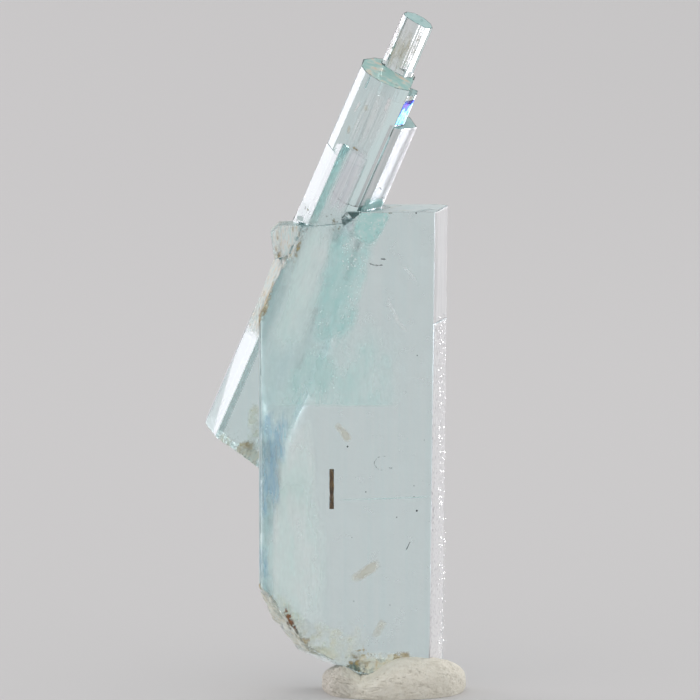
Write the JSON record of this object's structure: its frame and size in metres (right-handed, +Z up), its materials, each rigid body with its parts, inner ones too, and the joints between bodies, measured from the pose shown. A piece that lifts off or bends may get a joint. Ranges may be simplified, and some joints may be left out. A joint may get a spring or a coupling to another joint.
{
  "type": "aquamarine crystal specimen",
  "caption": "Clear pale blue aquamarine: a flat upright crystal with a stepped bundle of thin prisms leaning through its corner, stood in a pat of display putty.",
  "frame": {"origin": "middle of the putty's flat underside", "axes": "+Z up along the flat crystal, +X to the right along its wide face, -Y out of its wide front face"},
  "size_m": [0.0199, 0.013, 0.0521],
  "materials": {
    "aquamarine": "clear and polished on the growth faces, etched on the narrow side, rough on the breaks",
    "putty": "matt and finely pitted"
  },
  "bodies": {
    "root": {"aquamarine_crystals": "aquamarine", "display_putty": "putty"}
  },
  "joints": []
}
